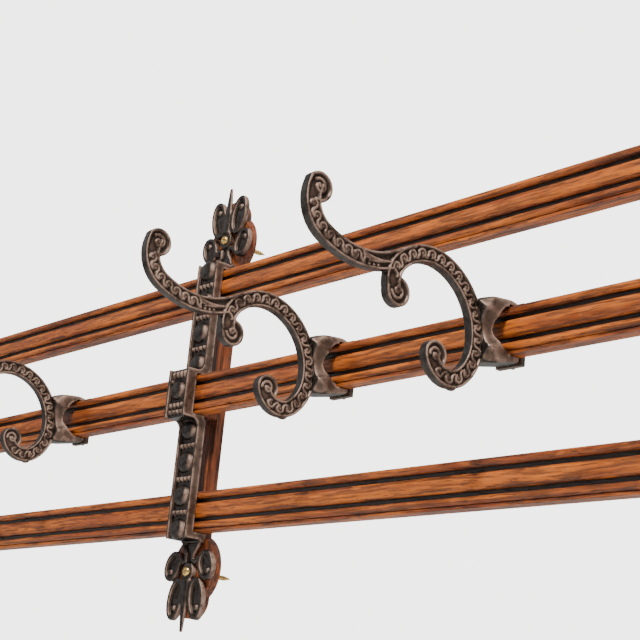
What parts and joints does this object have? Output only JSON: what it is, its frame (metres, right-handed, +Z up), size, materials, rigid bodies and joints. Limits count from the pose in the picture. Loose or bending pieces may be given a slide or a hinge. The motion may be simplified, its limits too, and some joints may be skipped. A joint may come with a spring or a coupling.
{
  "type": "wall hook rack",
  "caption": "Wall rack of reeded oak rails on leaf-ended iron brackets, with scrolled cast hooks that slide along the middle rail.",
  "frame": {"origin": "centre of the four wall screws' pattern, on the wall plane at the battens' backs, level with the middle rail", "axes": "+X along the rails, +Y into the wall, +Z up"},
  "size_m": [1.38, 0.2309, 0.372],
  "materials": {
    "oak_rail": "stained and waxed, worn on the reeds",
    "oak_batten": "dark stained",
    "iron": "brown patina, rubbed bright on the edges",
    "brass": "aged",
    "steel": "plain"
  },
  "bodies": {
    "rack": {"top_rail": "oak_rail", "middle_rail": "oak_rail", "bottom_rail": "oak_rail", "left_bracket": "iron", "right_bracket": "iron", "left_batten": "oak_batten", "right_batten": "oak_batten", "left_packing_block": "oak_batten", "right_packing_block": "oak_batten", "wall_screws": "brass", "rail_screws": "steel", "block_screws": "steel"},
    "sliding_hook_1": {"hook_1": "iron", "keeper_1": "iron", "keeper_screws_1": "steel"},
    "sliding_hook_2": {"hook_2": "iron", "keeper_2": "iron", "keeper_screws_2": "steel"},
    "sliding_hook_3": {"hook_3": "iron", "keeper_3": "iron", "keeper_screws_3": "steel"},
    "sliding_hook_4": {"hook_4": "iron", "keeper_4": "iron", "keeper_screws_4": "steel"},
    "sliding_hook_5": {"hook_5": "iron", "keeper_5": "iron", "keeper_screws_5": "steel"},
    "sliding_hook_6": {"hook_6": "iron", "keeper_6": "iron", "keeper_screws_6": "steel"}
  },
  "joints": [
    {"name": "hook_1_slide", "type": "slide", "parent": "rack", "child": "sliding_hook_1", "axis": [1, 0, 0], "range_m": [-0.069, 0.07]},
    {"name": "hook_2_slide", "type": "slide", "parent": "rack", "child": "sliding_hook_2", "axis": [1, 0, 0], "range_m": [-0.07, 0.151]},
    {"name": "hook_3_slide", "type": "slide", "parent": "rack", "child": "sliding_hook_3", "axis": [1, 0, 0], "range_m": [-0.146, 0.065]},
    {"name": "hook_4_slide", "type": "slide", "parent": "rack", "child": "sliding_hook_4", "axis": [1, 0, 0], "range_m": [-0.065, 0.146]},
    {"name": "hook_5_slide", "type": "slide", "parent": "rack", "child": "sliding_hook_5", "axis": [1, 0, 0], "range_m": [-0.151, 0.07]},
    {"name": "hook_6_slide", "type": "slide", "parent": "rack", "child": "sliding_hook_6", "axis": [1, 0, 0], "range_m": [-0.07, 0.069]}
  ]
}
